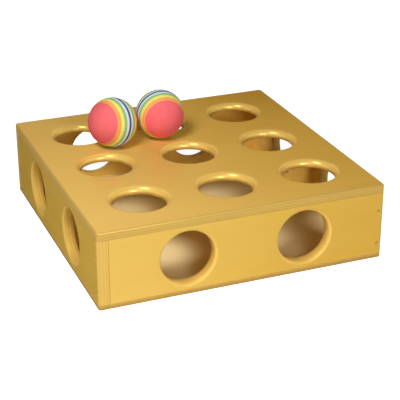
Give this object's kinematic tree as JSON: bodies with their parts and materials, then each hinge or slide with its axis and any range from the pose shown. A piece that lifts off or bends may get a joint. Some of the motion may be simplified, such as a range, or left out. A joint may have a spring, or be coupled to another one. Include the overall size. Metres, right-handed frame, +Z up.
{
  "type": "cat puzzle box",
  "caption": "Low square wooden box with round paw holes in its top and walls, and striped foam balls for a cat to fish out.",
  "frame": {"origin": "middle of the base panel's underside", "axes": "+X to the right along the front wall, +Y from the front wall to the back wall, +Z up"},
  "size_m": [0.24, 0.24, 0.1073],
  "materials": {
    "honey_plywood": "thin plywood, honey stain under semi-gloss lacquer, faint grain",
    "base_plywood": "thin plywood, paler inside, honey stain on the edge",
    "nail_steel": "small nail heads, stained over and dull",
    "red_foam": "matt closed-cell foam, ground smooth",
    "orange_foam": "matt closed-cell foam, ground smooth",
    "yellow_foam": "matt closed-cell foam, ground smooth",
    "green_foam": "matt closed-cell foam, ground smooth",
    "pale_blue_foam": "matt closed-cell foam, ground smooth",
    "navy_foam": "matt closed-cell foam, ground smooth"
  },
  "bodies": {
    "box": {"base_panel": "base_plywood", "front_wall": "honey_plywood", "right_wall": "honey_plywood", "back_wall": "honey_plywood", "left_wall": "honey_plywood", "top_panel": "honey_plywood", "corner_brads": "nail_steel", "base_brads": "nail_steel"},
    "left_ball": {"left_ball_front_red_cap": "red_foam", "left_ball_front_orange": "orange_foam", "left_ball_front_yellow": "yellow_foam", "left_ball_front_green": "green_foam", "left_ball_front_pale": "pale_blue_foam", "left_ball_navy": "navy_foam", "left_ball_back_pale": "pale_blue_foam", "left_ball_back_green": "green_foam", "left_ball_back_yellow": "yellow_foam", "left_ball_back_orange": "orange_foam", "left_ball_back_red_cap": "red_foam"},
    "right_ball": {"right_ball_front_red_cap": "red_foam", "right_ball_front_orange": "orange_foam", "right_ball_front_yellow": "yellow_foam", "right_ball_front_green": "green_foam", "right_ball_front_pale": "pale_blue_foam", "right_ball_navy": "navy_foam", "right_ball_back_pale": "pale_blue_foam", "right_ball_back_green": "green_foam", "right_ball_back_yellow": "yellow_foam", "right_ball_back_orange": "orange_foam", "right_ball_back_red_cap": "red_foam"}
  },
  "joints": [
    {"name": "left_ball_lift", "type": "slide", "parent": "box", "child": "left_ball", "axis": [0, 0, 1], "range_m": [0, 0.12]},
    {"name": "right_ball_lift", "type": "slide", "parent": "box", "child": "right_ball", "axis": [0, 0, 1], "range_m": [0, 0.12]}
  ]
}
